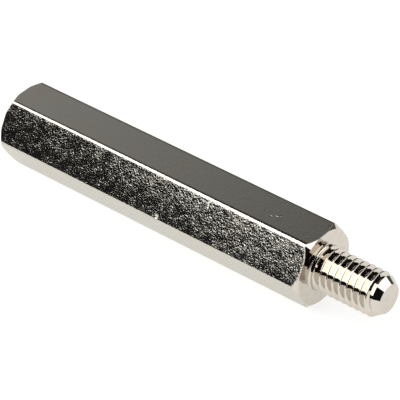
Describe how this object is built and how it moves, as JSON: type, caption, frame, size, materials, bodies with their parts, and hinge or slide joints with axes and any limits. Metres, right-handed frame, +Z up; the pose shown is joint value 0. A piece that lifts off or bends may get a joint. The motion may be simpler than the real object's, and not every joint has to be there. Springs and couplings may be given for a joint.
{
  "type": "hex standoff",
  "caption": "Long male-female hex standoff: chamfered hexagonal body with a threaded stud on one end and a tapped blind hole in the other.",
  "frame": {"origin": "on the surface that the standoff lies on, at the middle of its overall length and width", "axes": "+X along the standoff's axis, from the tapped end towards the stud; +Z up, out of the flat opposite the one it lies on"},
  "size_m": [0.03, 0.0056, 0.005],
  "materials": {
    "nickel_plate": "bright nickel plate over brass"
  },
  "bodies": {
    "root": {"standoff": "nickel_plate"}
  },
  "joints": []
}
